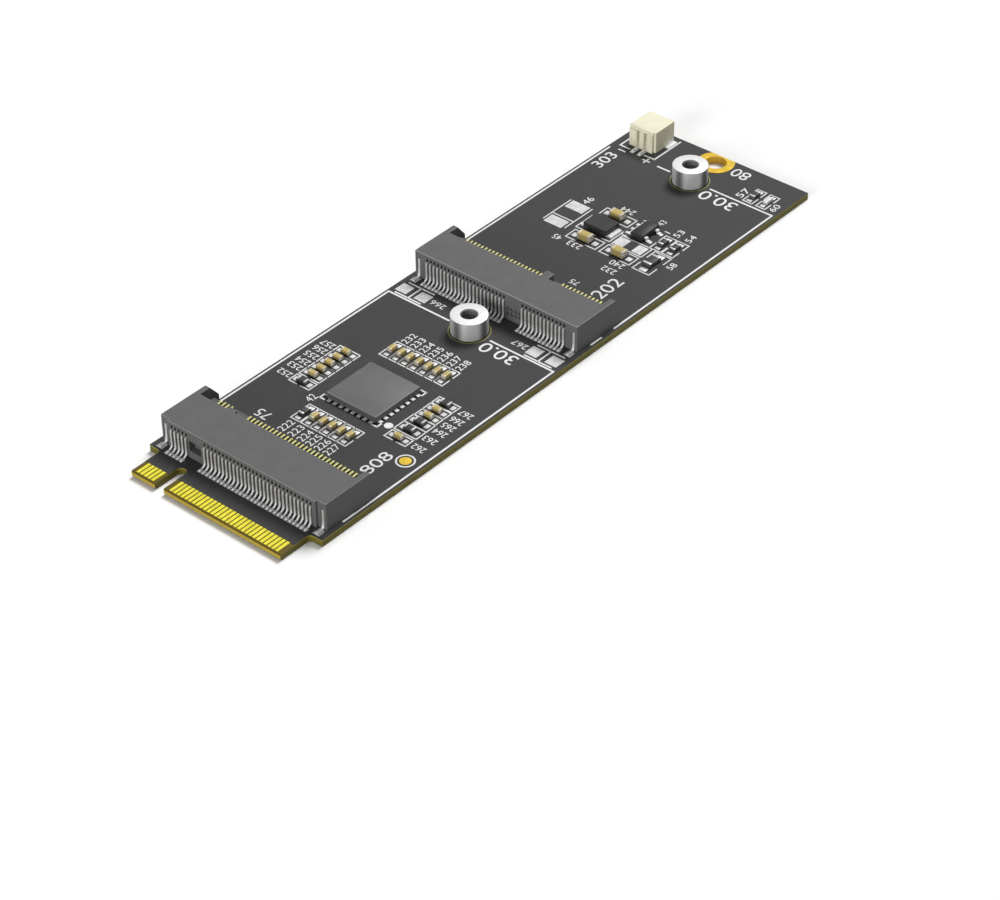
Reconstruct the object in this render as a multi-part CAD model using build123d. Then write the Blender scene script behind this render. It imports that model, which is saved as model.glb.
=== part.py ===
from build123d import *
import os

# Solid-state drive splitter card: a long narrow plug-in board that carries two edge sockets,
# each with its own standoff, a switch chip, small parts and a two-way cable header.
# Frame: X runs along the board from the plug-in tongue to the far end, Y across it towards the
# key notch, Z up from the flat underside. The origin is on the underside, at the middle of the box.

# Contact numbering: pin n lies (n - middle_pin) half-spacings from the middle of the board
contact_spacing = 0.5
pin_count = 75
m_key_first = 59
m_key_last = 66
e_key_first = 24
e_key_last = 31

# Board and plug-in tongue
board_thickness = 0.8
tongue_side_margin = 0.675
tongue_length = 4.0
step_radius = 0.5
shoulder_radius = 0.15
tongue_tip_chamfer = 0.15
mask_edge = 1.9
copper = 0.035
notch_width = 1.2
notch_depth = 3.5
outline_overlap = 0.5
finger_width = 0.35
finger_inset = 0.05
finger_gap = 0.02

# Places along the board: each is measured from the one before it
tongue_to_socket = 1.3
module_length = 30.0
tip_gap = 0.1
standoff_to_socket = 4.0
standoff_to_end_hole = 4.7
end_hole_to_edge = 1.5

# Screw holes and standoffs
drilled_hole = 2.5
ring_diameter = 4.3
ring_edge_margin = 0.05
standoff_diameter = 4.0
standoff_height = 2.1
standoff_bore = 1.6
standoff_mouth = 2.1
standoff_rim = 0.12
spigot_length = 0.6
spigot_clearance = 0.05

# Socket housing
slot_side_clearance = 0.125
slot_cheek = 0.9
ear_thickness = 0.6
socket_side_margin = 0.55
socket_depth = 7.28
socket_back_wall = 2.9
slot_below_module = 0.35
slot_height = 1.2
roof_thickness = 0.25
roof_setback = 2.53
roof_bevel = 0.16
column_width = 0.85
column_proud = 0.12
ear_roof_setback = 1.18
ear_front_rise = 0.01
key_rib_width = 1.0
key_rib_reach_m = 0.4
key_rib_reach_e = 1.1
pocket_width = 1.6
pocket_depth = 0.45
pocket_low = 0.7
pocket_high = 2.1
cell_count = 4
cell_row_count = 2
cell_width = 0.36
cell_pitch = 0.56
cell_depth = 0.14

# Socket contacts
strip_thickness = 0.12
contact_width = 0.2
contact_slot = 0.28
upper_foot_out = 1.25
upper_foot_end = 0.42
upper_leg_gap = 0.08
upper_kick_height = 0.42
upper_leg_below_roof = 0.45
upper_slit_height = 0.65
upper_tip_x = 4.4
upper_tip_below_roof = 0.21
lower_foot_setback = 0.18
lower_back_x = 3.6
lower_beam_drop = 0.2
lower_tip_setback = 0.88
comb_back_x = 3.4

# Socket pegs and hold-down tabs
peg_x = 4.7
peg_inset = 0.8
large_peg = 1.5
small_peg = 1.0
peg_clearance = 0.05
peg_length = 0.6
tab_inset = 0.5
tab_width = 0.36
tab_thickness = 0.15
tab_below_roof = 0.9
tab_foot_width = 0.9
tab_foot_length = 1.05
tab_clearance = 0.03

# Switch chip
chip_from_socket = 18.55
chip_y = 0.1
chip_side = 6.6
chip_height = 0.8
chip_standoff = 0.04
chip_rim = 0.06
chip_pad_count = 8
chip_pad_pitch = 0.8
chip_pad_width = 0.42
chip_pad_out = 0.38
chip_pad_in = 0.24

# Chip resistors and capacitors: body, terminal and the tinned land that runs out from it
small_length = 1.0
small_width = 0.5
small_height = 0.5
small_terminal = 0.24
small_land = 0.6
large_length = 1.6
large_width = 0.8
large_height = 0.8
large_terminal = 0.32
large_land = 0.95
terminal_skin = 0.02
resistor_height = 0.36
large_resistor_height = 0.48
part_lift = 0.055

# Banks of small parts, from the chip's centre
side_bank_out = 6.95
side_resistor_run = -2.9
side_capacitor_run = -1.4
side_bank_pitch = 1.22
side_capacitor_count = 5
rear_bank_out = 6.52
rear_resistor_run = 3.25
rear_capacitor_run = 1.9
rear_bank_pitch = 1.19
rear_capacitor_count = 5
mouth_bank_out = 6.9
mouth_bank_run = 3.7
mouth_bank_pitch = 1.217
mouth_capacitor_count = 7
low_bank_out = 6.6
low_capacitor_runs = (-3.6, 0.8, 2.05)
low_resistor_runs = (-1.95, -0.45, 3.4)

# Power section: places along the board from its first capacitor
power_from_socket = 16.6
power_cap_y = 1.5
power_cap_low_y = -3.1
power_cap_spacing = 5.5
coil_from_capacitor = 2.75
coil_y = 1.5
coil_width = 2.35
coil_length = 3.1
coil_height = 0.85
coil_terminal_overlap = 0.55
coil_terminal_height = 0.2
coil_terminal_inset = 0.25
regulator_from_capacitor = 4.9
regulator_y = -2.75
regulator_length = 2.9
regulator_width = 1.6
regulator_height = 0.78
regulator_lift = 0.08
regulator_pitch = 0.95
regulator_rim = 0.08
lead_width = 0.38
lead_out = 0.62
lead_strip = 0.12
lead_shoulder = 0.45
lead_stem = 0.2
large_resistor_from_capacitor = 0.95
large_resistor_y = -6.8
pair_from_capacitor = 4.6
pair_resistor_y = -5.5
pair_resistor_pitch = 1.6
pair_resistor_count = 2

# Indicator lamp and its resistor, from the far corner
led_from_end = 4.3
led_from_edge = 2.3
led_to_resistor = 1.75
led_height = 0.42

# Cable header at the other far corner
header_from_end = 0.9
header_from_edge = 3.45
header_depth = 3.7
header_width = 3.5
header_height = 2.65
header_cap = 0.45
header_rib_depth = 0.36
header_rib_inset = 0.26
header_wall = 0.35
header_back = 1.15
header_groove = 0.36
header_pitch = 1.0
header_pin_width = 0.3
header_pin_strip = 0.2
header_pin_height = 1.15
header_pin_setback = 0.8
header_foot_out = 1.0
header_riser = 0.42
nail_length = 1.6
nail_width = 0.55
nail_thickness = 0.16
nail_height = 0.55
nail_blade = 1.0
nail_inset = 0.1
nail_slot = 0.12

# Bare lands that carry no part
bank_pad_from_socket = 2.6
bank_pad_from_edge = 2.65
bank_pad_size_x = 1.45
bank_pad_size_y = 1.5
bank_pad_offset = 1.3
wide_pad_from_capacitor = 2.55
wide_pad_y = 6.1
wide_pad_size_x = 1.5
wide_pad_size_y = 2.4
wide_pad_offset = 1.8
spare_pad_from_capacitor = 2.1
spare_pad_y = -3.1
spare_pad_size_x = 1.5
spare_pad_size_y = 1.25
spare_pad_offset = 1.2

# White print of the module outlines
ink = 0.02
line_width = 0.22
outline_inset = 0.35
outline_start = 0.6
outline_ring_gap = 0.6
outline_stub = 1.8
outline_peg_gap = 1.0
outline_corner = 1.95

# Values worked out from the sizes above
near = 0.001
top = board_thickness
middle_pin = (pin_count + 1) / 2
m_key_pin = (m_key_first + m_key_last) / 2
e_key_pin = (e_key_first + e_key_last) / 2
tongue_width = (pin_count - 1) * contact_spacing / 2 + 2 * tongue_side_margin
slot_width = tongue_width + 2 * slot_side_clearance
socket_width = slot_width + 2 * slot_cheek
board_width = socket_width + 2 * socket_side_margin
half_width = board_width / 2
slot_half = slot_width / 2
slot_floor = standoff_height - slot_below_module
slot_roof = slot_floor + slot_height
socket_height = slot_roof + roof_thickness
roof_depth = socket_depth - roof_setback
tab_height = socket_height - tab_below_roof
tab_y = socket_width / 2 - tab_inset
peg_y = socket_width / 2 - peg_inset
m_socket_x = tongue_length + tongue_to_socket
front_standoff_x = m_socket_x + socket_back_wall + tip_gap + module_length
e_socket_x = front_standoff_x + standoff_to_socket
rear_standoff_x = e_socket_x + socket_back_wall + tip_gap + module_length
end_hole_x = rear_standoff_x + standoff_to_end_hole
board_length = end_hole_x + end_hole_to_edge
chip_x = m_socket_x + chip_from_socket
power_x = e_socket_x + power_from_socket
coil_x = power_x + coil_from_capacitor
regulator_x = power_x + regulator_from_capacitor
led_x = board_length - led_from_end
led_y = led_from_edge - half_width
header_x = board_length - header_from_end - header_depth
header_y = half_width - header_from_edge


def pin_y(pin):
    return (pin - middle_pin) * contact_spacing / 2


def row_places(start, first_left_out, last_left_out):
    pins = range(start, pin_count + 1, 2)
    return [pin_y(n) for n in pins if not first_left_out <= n <= last_left_out]


def block(x0, x1, y0, y1, z0, z1):
    size = (abs(x1 - x0), abs(y1 - y0), abs(z1 - z0))
    centre = ((x0 + x1) / 2, (y0 + y1) / 2, (z0 + z1) / 2)
    return Pos(*centre) * Box(*size)


def centred_block(x, y, length, width, z0, z1):
    return block(x - length / 2, x + length / 2, y - width / 2, y + width / 2, z0, z1)


def post(x, y, diameter, z0, z1):
    return Pos(x, y, (z0 + z1) / 2) * Cylinder(diameter / 2, z1 - z0)


def side_strip(points, width):
    # A profile in the XZ plane, as wide as given along Y, about Y = 0
    wire = Polyline(*[(x, 0, z) for x, z in points], close=True)
    return extrude(make_face(wire), width / 2, both=True)


def moved_copies(shape, places):
    return [Pos(*place) * shape for place in places]


def group(shapes):
    solids = []
    for shape in shapes:
        solids.extend(shape.solids())
    return Compound(children=solids)


# Circuit board
def board_outline():
    notch_y = pin_y(m_key_pin)
    plate_length = board_length - tongue_length
    plate = Pos(tongue_length + plate_length / 2, 0) * Rectangle(plate_length, board_width)
    reach = tongue_length + outline_overlap
    shape = plate + Pos(reach / 2, 0) * Rectangle(reach, tongue_width)
    corners = shape.vertices().filter_by(lambda v: abs(v.X - tongue_length) < near)
    outer = corners.filter_by(lambda v: abs(v.Y) > half_width - near)
    inner = corners.filter_by(lambda v: abs(v.Y) < half_width - near)
    room = (board_width - tongue_width) / 2
    shape = fillet(outer, min(shoulder_radius, room / 3))
    shape = fillet(inner, min(step_radius, room / 2))
    straight = notch_depth - notch_width / 2
    cut = straight + outline_overlap
    notch = Pos(straight - cut / 2, notch_y) * Rectangle(cut, notch_width)
    notch += Pos(straight, notch_y) * Circle(notch_width / 2)
    return shape - notch


def ring_disc(z0, z1):
    disc = post(end_hole_x, 0, ring_diameter, z0, z1)
    limit = board_length - ring_edge_margin
    return disc & block(end_hole_x - ring_diameter, limit, -ring_diameter, ring_diameter, z0, z1)


def circuit_board():
    board = extrude(board_outline(), board_thickness)
    for z0, z1 in ((0, copper), (top - copper, top)):
        board -= block(0, mask_edge, -half_width, half_width, z0, z1)
    board -= ring_disc(0, copper)
    tip = board.edges().filter_by(Axis.Y).filter_by(lambda e: abs(e.center().X) < near)
    board = chamfer(tip, tongue_tip_chamfer - copper, tongue_tip_chamfer)
    for x in (front_standoff_x, rear_standoff_x, end_hole_x):
        board -= post(x, 0, drilled_hole, 0, top)
    for x in (m_socket_x, e_socket_x):
        board -= post(x + peg_x, peg_y, large_peg + 2 * peg_clearance, 0, top)
        board -= post(x + peg_x, -peg_y, small_peg + 2 * peg_clearance, 0, top)
    return board


def fingers(start_pin, z0):
    start = tongue_tip_chamfer + finger_inset
    end = mask_edge - finger_gap
    finger = centred_block((start + end) / 2, 0, end - start, finger_width, z0, z0 + copper)
    places = [(0, y, 0) for y in row_places(start_pin, m_key_first, m_key_last)]
    return group(moved_copies(finger, places))


# End hole: a bare copper ring standing on the upper face, and one let into the underside
def end_hole_rings():
    rings = []
    for z0, z1 in ((0, copper), (top, top + copper)):
        rings.append(ring_disc(z0, z1) - post(end_hole_x, 0, drilled_hole, z0, z1))
    return group(rings)


# Standoff: a turned post with a spigot in the board and a tapped bore
def standoff(x):
    rim = top + standoff_height
    body = post(x, 0, standoff_diameter, top, rim)
    body = chamfer(body.edges().filter_by(GeomType.CIRCLE).sort_by(Axis.Z)[-1], standoff_rim)
    body += post(x, 0, drilled_hole - 2 * spigot_clearance, top - spigot_length, top)
    body -= post(x, 0, standoff_bore, top - spigot_length, rim)
    mouth = (standoff_mouth - standoff_bore) / 2
    cone = Pos(x, 0, rim - mouth / 2) * Cone(standoff_bore / 2, standoff_mouth / 2, mouth)
    return body - cone


# Sockets, modelled with the back face at X = 0 and the board's face at Z = 0
def shell_profile(back):
    return [
        (back, 0), (socket_depth, 0), (socket_depth, slot_floor + ear_front_rise),
        (socket_depth - ear_roof_setback, socket_height), (back + roof_bevel, socket_height),
        (back, socket_height - roof_bevel),
    ]


def socket_shell(key_y, rib_reach):
    # The back stands proud in a column at each end, where the hold-down tabs are let in
    ear_inside = socket_width / 2 - ear_thickness
    column = side_strip(shell_profile(0), column_width)
    column_y = (socket_width - column_width) / 2
    shell = side_strip(shell_profile(column_proud), socket_width)
    for y in (-column_y, column_y):
        shell += Pos(0, y, 0) * column
    shell -= block(roof_depth, socket_depth, -ear_inside, ear_inside, slot_floor, socket_height)
    shell -= block(socket_back_wall, roof_depth, -slot_half, slot_half, slot_floor, slot_roof)
    rib_end = roof_depth + rib_reach
    shell += centred_block((socket_back_wall + rib_end) / 2, key_y, rib_end - socket_back_wall,
                           key_rib_width, slot_floor, socket_height)
    return shell


def upper_slits(first_left_out, last_left_out):
    # One slit through the back wall on each side of the key
    key_y = pin_y((first_left_out + last_left_out) / 2)
    places = row_places(1, first_left_out, last_left_out)
    slits = []
    for side in (-1, 1):
        run = [y for y in places if side * y > side * key_y]
        low = min(run) - contact_slot / 2
        high = max(run) + contact_slot / 2
        slits.append(block(0, socket_back_wall, low, high, slot_roof - upper_slit_height, slot_roof))
    return slits


def comb_slots(places):
    # The slots between the teeth of the floor, one for each lower contact
    slot = block(comb_back_x, socket_depth, -contact_slot / 2, contact_slot / 2, 0, slot_floor)
    return moved_copies(slot, [(0, y, 0) for y in places])


def tab_slots():
    width = tab_width + 2 * tab_clearance
    depth = tab_thickness + tab_clearance
    slot = centred_block(depth / 2, tab_y, depth, width, 0, tab_height + tab_clearance)
    return [slot, mirror(slot, Plane.XZ)]


def pegs():
    return [post(peg_x, peg_y, large_peg, -peg_length, 0), post(peg_x, -peg_y, small_peg, -peg_length, 0)]


def key_pocket(key_y):
    middle = column_proud + pocket_depth / 2
    return [centred_block(middle, key_y, pocket_depth, pocket_width, pocket_low, pocket_high)]


def key_cells(key_y):
    # Two rows of square cells pressed into the back wall beside the key
    middle = column_proud + cell_depth / 2
    cells = []
    for row in range(cell_row_count):
        low = pocket_low + row * cell_pitch
        for column in range(cell_count):
            y = key_y + (column - (cell_count - 1) / 2) * cell_pitch
            cells.append(centred_block(middle, y, cell_depth, cell_width, low, low + cell_width))
    return cells


def socket_housing(key_pin, first, last, rib_reach, back_cuts):
    shell = socket_shell(pin_y(key_pin), rib_reach)
    shell -= upper_slits(first, last) + comb_slots(row_places(2, first, last)) + tab_slots() + back_cuts
    for peg in pegs():
        shell += peg
    return shell


def upper_contact():
    # Foot on the board, a kick up to the leg on the housing's back, and the beam through its slit
    t = strip_thickness
    out = -upper_foot_out
    leg = -upper_leg_gap
    leg_top = slot_roof - upper_leg_below_roof
    tip = slot_roof - upper_tip_below_roof
    points = [
        (out, 0), (-upper_foot_end, 0), (leg, upper_kick_height), (leg, leg_top - t),
        (upper_tip_x, tip - t), (upper_tip_x, tip), (leg - t, leg_top),
        (leg - t, upper_kick_height + t / 2), (-upper_foot_end - t / 2, t), (out, t),
    ]
    return side_strip(points, contact_width)


def lower_contact():
    # Foot on the board under the mouth, a riser at the back of the comb and the sprung beam
    t = strip_thickness
    foot = socket_depth - lower_foot_setback
    tip_x = socket_depth - lower_tip_setback
    back = lower_back_x
    tip = standoff_height
    beam = tip - lower_beam_drop
    points = [
        (back, 0), (foot, 0), (foot, t), (back + t, t),
        (back + t, beam - t), (tip_x, tip - t), (tip_x, tip), (back, beam),
    ]
    return side_strip(points, contact_width)


def contact_row(contact, socket_x, places):
    return group(moved_copies(contact, [(socket_x, y, top) for y in places]))


def hold_downs(socket_x):
    upright = centred_block(tab_thickness / 2, tab_y, tab_thickness, tab_width, 0, tab_height)
    foot = centred_block(-tab_foot_length / 2, tab_y, tab_foot_length, tab_foot_width, 0, tab_thickness)
    tab = Pos(socket_x, 0, top) * (upright + foot)
    return group([tab, mirror(tab, Plane.XZ)])


# Switch chip with a row of lands along each side
def switch_chip():
    body = centred_block(chip_x, chip_y, chip_side, chip_side, top + chip_standoff, top + chip_height)
    return chamfer(body.edges().group_by(Axis.Z)[-1], chip_rim)


def switch_chip_pads():
    inner = chip_side / 2 - chip_pad_in
    outer = chip_side / 2 + chip_pad_out
    pads = []
    for k in range(chip_pad_count):
        run = (k - (chip_pad_count - 1) / 2) * chip_pad_pitch
        pad = block(inner, outer, run - chip_pad_width / 2, run + chip_pad_width / 2, top, top + copper)
        pads.extend(Pos(chip_x, chip_y) * Rot(0, 0, 90 * turn) * pad for turn in range(4))
    return group(pads)


# Chip parts: a body between two wrapped terminals, each soldered to a land that runs out from it
def chip_body(length, width, height, terminal):
    return centred_block(0, 0, length - 2 * terminal, width, top + part_lift, top + height)


def chip_terminals(length, width, height, terminal, land):
    inner = length / 2 - terminal
    end = length / 2
    points = [
        (inner, 0), (end + land, 0), (end + land, copper), (end, copper),
        (end, height + terminal_skin), (inner, height + terminal_skin),
    ]
    one = Pos(0, 0, top) * side_strip(points, width + 2 * terminal_skin)
    return [one, mirror(one, Plane.YZ)]


def side_bank(start, count):
    y = chip_y + side_bank_out
    return [(chip_x + start + k * side_bank_pitch, y, 90) for k in range(count)]


def rear_bank(start, count):
    x = chip_x - rear_bank_out
    return [(x, chip_y + start - k * rear_bank_pitch, 0) for k in range(count)]


def mouth_bank():
    x = chip_x + mouth_bank_out
    return [(x, chip_y + mouth_bank_run - k * mouth_bank_pitch, 0) for k in range(mouth_capacitor_count)]


def low_bank(runs):
    return [(chip_x + run, chip_y - low_bank_out, 90) for run in runs]


def small_capacitor_places():
    places = side_bank(side_capacitor_run, side_capacitor_count)
    places += rear_bank(rear_capacitor_run, rear_capacitor_count)
    return places + mouth_bank() + low_bank(low_capacitor_runs)


def small_resistor_places():
    places = side_bank(side_resistor_run, 1) + rear_bank(rear_resistor_run, 1) + low_bank(low_resistor_runs)
    x = power_x + pair_from_capacitor
    places += [(x, pair_resistor_y - k * pair_resistor_pitch, 0) for k in range(pair_resistor_count)]
    return places + [(led_x, led_y + led_to_resistor, 0)]


def power_capacitor_places():
    return [(power_x, power_cap_y, 90), (power_x + power_cap_spacing, power_cap_y, 90),
            (power_x, power_cap_low_y, 90)]


def set_out(shapes, places):
    placed = []
    for x, y, turn in places:
        placed.extend(Pos(x, y) * Rot(0, 0, turn) * shape for shape in shapes)
    return placed


def small_parts(height, places):
    body = chip_body(small_length, small_width, height, small_terminal)
    ends = chip_terminals(small_length, small_width, height, small_terminal, small_land)
    return group(set_out([body], places)), group(set_out(ends, places))


def large_parts(height, places):
    body = chip_body(large_length, large_width, height, large_terminal)
    ends = chip_terminals(large_length, large_width, height, large_terminal, large_land)
    return group(set_out([body], places)), group(set_out(ends, places))


# Power coil: a square block with a wrapped terminal under each end
def coil_end(side, outer):
    inner_y = coil_y + side * (coil_length / 2 - coil_terminal_overlap)
    outer_y = coil_y + side * (coil_length / 2 + outer)
    return (inner_y + outer_y) / 2, abs(outer_y - inner_y)


def coil_body():
    body = centred_block(coil_x, coil_y, coil_width, coil_length, top + part_lift, top + coil_height)
    for side in (-1, 1):
        y, run = coil_end(side, 0)
        body -= centred_block(coil_x, y, coil_width, run, top + part_lift, top + coil_terminal_height)
    return body


def coil_terminals():
    width = coil_width - 2 * coil_terminal_inset
    ends = []
    for side in (-1, 1):
        y, run = coil_end(side, coil_terminal_overlap)
        ends.append(centred_block(coil_x, y, width, run, top, top + coil_terminal_height))
    return group(ends)


# Regulator: a small block with three gull-wing leads on one side and two on the other
def regulator_body():
    body = centred_block(regulator_x, regulator_y, regulator_length, regulator_width,
                         top + regulator_lift, top + regulator_height)
    return chamfer(body.edges().group_by(Axis.Z)[-1], regulator_rim)


def regulator_leads():
    t = lead_strip
    half = regulator_width / 2
    foot = half + lead_out
    shoulder = half + lead_stem
    points = [
        (foot, 0), (foot, t), (shoulder + t, t), (shoulder + t, lead_shoulder),
        (half, lead_shoulder), (half, lead_shoulder - t), (shoulder, lead_shoulder - t), (shoulder, 0),
    ]
    lead = Rot(0, 0, 90) * side_strip(points, lead_width)
    leads = [Pos(regulator_x + k * regulator_pitch, regulator_y, top) * lead for k in (-1, 0, 1)]
    back = Rot(0, 0, 180) * lead
    leads += [Pos(regulator_x + k * regulator_pitch, regulator_y, top) * back for k in (-1, 1)]
    return group(leads)


# Cable header: a moulded box with three ribs on its back and a mouth towards the board's end
def header_pin_places():
    return [header_y + side * header_pitch / 2 for side in (-1, 1)]


def header_housing():
    end_x = header_x + header_depth
    back_x = header_x + header_rib_depth
    mouth_x = header_x + header_back
    half = header_width / 2
    roof = top + header_height
    body = block(back_x, end_x, header_y - half, header_y + half, top, roof)
    rib_low = header_y - half + header_rib_inset
    body += block(header_x, back_x, rib_low, header_y + half, top, roof - header_cap)
    body -= centred_block((mouth_x + end_x) / 2, header_y, end_x - mouth_x, header_width - 2 * header_wall,
                          top + header_wall, roof - header_wall)
    pin_low = top + header_pin_height - header_pin_strip - tab_clearance
    pin_high = top + header_pin_height + tab_clearance
    groove_depth = header_riser + header_pin_strip + tab_clearance
    for y in header_pin_places():
        body -= centred_block(header_x + groove_depth / 2, y, groove_depth, header_groove,
                              top, roof - header_cap)
        body -= centred_block((header_x + mouth_x) / 2, y, header_back, header_groove, pin_low, pin_high)
    nail_cut = nail_inset + nail_blade + tab_clearance
    for wall_y in (header_y - half, header_y + half):
        body -= centred_block(end_x - nail_cut / 2, wall_y, nail_cut, 2 * nail_slot,
                              top, top + nail_height + tab_clearance)
    return body


def header_pins():
    # Foot on the board, a riser at the bottom of the groove and the blade in the mouth
    t = header_pin_strip
    out = -header_foot_out
    riser = header_riser
    tip = header_depth - header_pin_setback
    points = [
        (out, 0), (riser + t, 0), (riser + t, header_pin_height - t), (tip, header_pin_height - t),
        (tip, header_pin_height), (riser, header_pin_height), (riser, t), (out, t),
    ]
    pin = side_strip(points, header_pin_width)
    return group(moved_copies(pin, [(header_x, y, top) for y in header_pin_places()]))


def header_nails():
    x1 = header_x + header_depth - nail_inset
    nails = []
    for side in (-1, 1):
        wall_y = header_y + side * header_width / 2
        near_y = wall_y - side * (nail_slot - tab_clearance)
        foot = block(x1 - nail_length, x1, wall_y + side * tab_clearance, wall_y + side * nail_width,
                     top, top + nail_thickness)
        blade = block(x1 - nail_blade, x1, near_y, wall_y + side * tab_clearance, top, top + nail_height)
        nails.append(foot + blade)
    return group(nails)


# Bare lands
def pad_pair(x, y, size_x, size_y, offset_x, offset_y):
    pads = []
    for side in (-1, 1):
        place = (x + side * offset_x, y + side * offset_y)
        pads.append(centred_block(*place, size_x, size_y, top, top + copper))
    return pads


def bare_pads():
    bank_x = e_socket_x - bank_pad_from_socket
    bank_y = half_width - bank_pad_from_edge
    pads = []
    for side in (-1, 1):
        pads += pad_pair(bank_x, side * bank_y, bank_pad_size_x, bank_pad_size_y, 0, bank_pad_offset)
    pads += pad_pair(power_x + wide_pad_from_capacitor, wide_pad_y, wide_pad_size_x, wide_pad_size_y,
                     wide_pad_offset, 0)
    pads += pad_pair(power_x + spare_pad_from_capacitor, spare_pad_y, spare_pad_size_x, spare_pad_size_y,
                     0, spare_pad_offset)
    return group(pads)


# Printed module outlines: lines along both edges and one across the board at each standoff
def outline_marks():
    line_y = half_width - outline_inset

    def along(x0, x1, y):
        return centred_block((x0 + x1) / 2, y, x1 - x0, line_width, top, top + ink)

    def across(x, y0, y1):
        return centred_block(x, (y0 + y1) / 2, line_width, y1 - y0, top, top + ink)

    edge = line_y + line_width / 2
    ring = ring_diameter / 2 + outline_ring_gap
    marks = []
    for socket_x, far_x in ((m_socket_x, front_standoff_x), (e_socket_x, rear_standoff_x)):
        end = far_x - line_width / 2
        marks.append(along(socket_x + socket_depth + outline_start, end, line_y))
        marks.append(along(socket_x + outline_corner, socket_x + peg_x - outline_peg_gap, -line_y))
        marks.append(along(socket_x + peg_x + outline_peg_gap, end, -line_y))
        marks.append(across(far_x, -edge, -ring))
    marks.append(across(front_standoff_x, ring, edge))
    marks.append(across(rear_standoff_x, ring, ring + outline_stub))
    return group(marks)


def socket_nodes():
    m_housing = socket_housing(m_key_pin, m_key_first, m_key_last, key_rib_reach_m,
                               key_pocket(pin_y(m_key_pin)))
    e_housing = socket_housing(e_key_pin, e_key_first, e_key_last, key_rib_reach_e,
                               key_cells(pin_y(e_key_pin)))
    upper = upper_contact()
    lower = lower_contact()
    nodes = {}
    for name, x, housing, first, last in (
        ("m_key_socket", m_socket_x, m_housing, m_key_first, m_key_last),
        ("e_key_socket", e_socket_x, e_housing, e_key_first, e_key_last),
    ):
        nodes[name + "_housing"] = Pos(x, 0, top) * housing
        nodes[name + "_upper_contacts"] = contact_row(upper, x, row_places(1, first, last))
        nodes[name + "_lower_contacts"] = contact_row(lower, x, row_places(2, first, last))
        nodes[name + "_hold_down_tabs"] = hold_downs(x)
    return nodes


def chip_part_nodes():
    large_resistor = [(power_x + large_resistor_from_capacitor, large_resistor_y, 0)]
    nodes = {}
    for name, body, parts in (
        ("small_capacitor", "bodies", small_parts(small_height, small_capacitor_places())),
        ("small_resistor", "bodies", small_parts(resistor_height, small_resistor_places())),
        ("indicator_led", "body", small_parts(led_height, [(led_x, led_y, 0)])),
        ("power_capacitor", "bodies", large_parts(large_height, power_capacitor_places())),
        ("large_resistor", "body", large_parts(large_resistor_height, large_resistor)),
    ):
        nodes[name + "_" + body], nodes[name + "_terminals"] = parts
    return nodes


def all_nodes():
    nodes = {
        "circuit_board": circuit_board(),
        "edge_fingers_top": fingers(1, top - copper),
        "edge_fingers_bottom": fingers(2, 0),
        "end_hole_plating": end_hole_rings(),
        "front_standoff": standoff(front_standoff_x),
        "rear_standoff": standoff(rear_standoff_x),
        "switch_chip": switch_chip(),
        "switch_chip_pads": switch_chip_pads(),
        "coil_body": coil_body(),
        "coil_terminals": coil_terminals(),
        "regulator_body": regulator_body(),
        "regulator_leads": regulator_leads(),
        "cable_header_housing": header_housing(),
        "cable_header_pins": header_pins(),
        "cable_header_nails": header_nails(),
        "bare_pads": bare_pads(),
        "module_outline_marks": outline_marks(),
    }
    nodes.update(socket_nodes())
    nodes.update(chip_part_nodes())
    return nodes


def main():
    os.makedirs("parts", exist_ok=True)
    shift = Pos(-board_length / 2, 0, 0)
    for name, shape in all_nodes().items():
        export_step(shift * shape, "parts/" + name + ".step")
        print(name, len(shape.solids()), round(shape.volume, 4))


main()
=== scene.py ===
import math
import bpy
from mathutils import Matrix, Vector


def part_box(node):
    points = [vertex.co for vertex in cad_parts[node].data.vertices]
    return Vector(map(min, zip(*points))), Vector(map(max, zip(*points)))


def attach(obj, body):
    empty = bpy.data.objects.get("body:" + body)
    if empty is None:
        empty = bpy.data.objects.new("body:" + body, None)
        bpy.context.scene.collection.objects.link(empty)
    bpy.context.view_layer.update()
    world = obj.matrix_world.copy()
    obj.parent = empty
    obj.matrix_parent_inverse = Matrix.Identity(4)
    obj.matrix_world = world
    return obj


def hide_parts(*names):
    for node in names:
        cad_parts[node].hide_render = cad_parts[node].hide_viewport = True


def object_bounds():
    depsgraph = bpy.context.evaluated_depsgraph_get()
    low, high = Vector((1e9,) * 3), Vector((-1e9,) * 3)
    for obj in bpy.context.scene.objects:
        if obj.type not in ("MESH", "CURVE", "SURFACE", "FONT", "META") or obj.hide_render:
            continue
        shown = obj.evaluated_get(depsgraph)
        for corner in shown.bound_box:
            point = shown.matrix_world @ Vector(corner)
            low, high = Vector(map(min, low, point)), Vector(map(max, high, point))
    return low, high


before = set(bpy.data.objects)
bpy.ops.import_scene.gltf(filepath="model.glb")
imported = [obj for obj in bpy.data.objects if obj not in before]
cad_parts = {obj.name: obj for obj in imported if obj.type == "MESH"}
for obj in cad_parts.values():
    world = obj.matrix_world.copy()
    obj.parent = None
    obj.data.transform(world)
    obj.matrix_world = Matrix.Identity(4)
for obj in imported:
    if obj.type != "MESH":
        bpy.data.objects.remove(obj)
cad_low, cad_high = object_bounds()

# Places below are in millimetres: x from the tongue's tip, y from the middle, heights from the board's face
MM = 0.001
TIP_X = cad_low.x
BOARD_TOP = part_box("circuit_board")[1].z
WELD = 0.001 * MM
FLAT = math.radians(1)
SHARP = 30

# Camera: fitted to the corners, holes and rings of the card in the photograph
CAMERA_PLACE = Vector((-0.18508, -0.16200, 0.17442))
CAMERA_TURN = math.radians(40.877)
CAMERA_DROP = math.radians(37.766)
CAMERA_ROLL = math.radians(-0.708)
CAMERA_LENS = 105.22
CAMERA_SENSOR = 36


# Objects and meshes
def deselect():
    bpy.ops.object.select_all(action="DESELECT")


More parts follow.
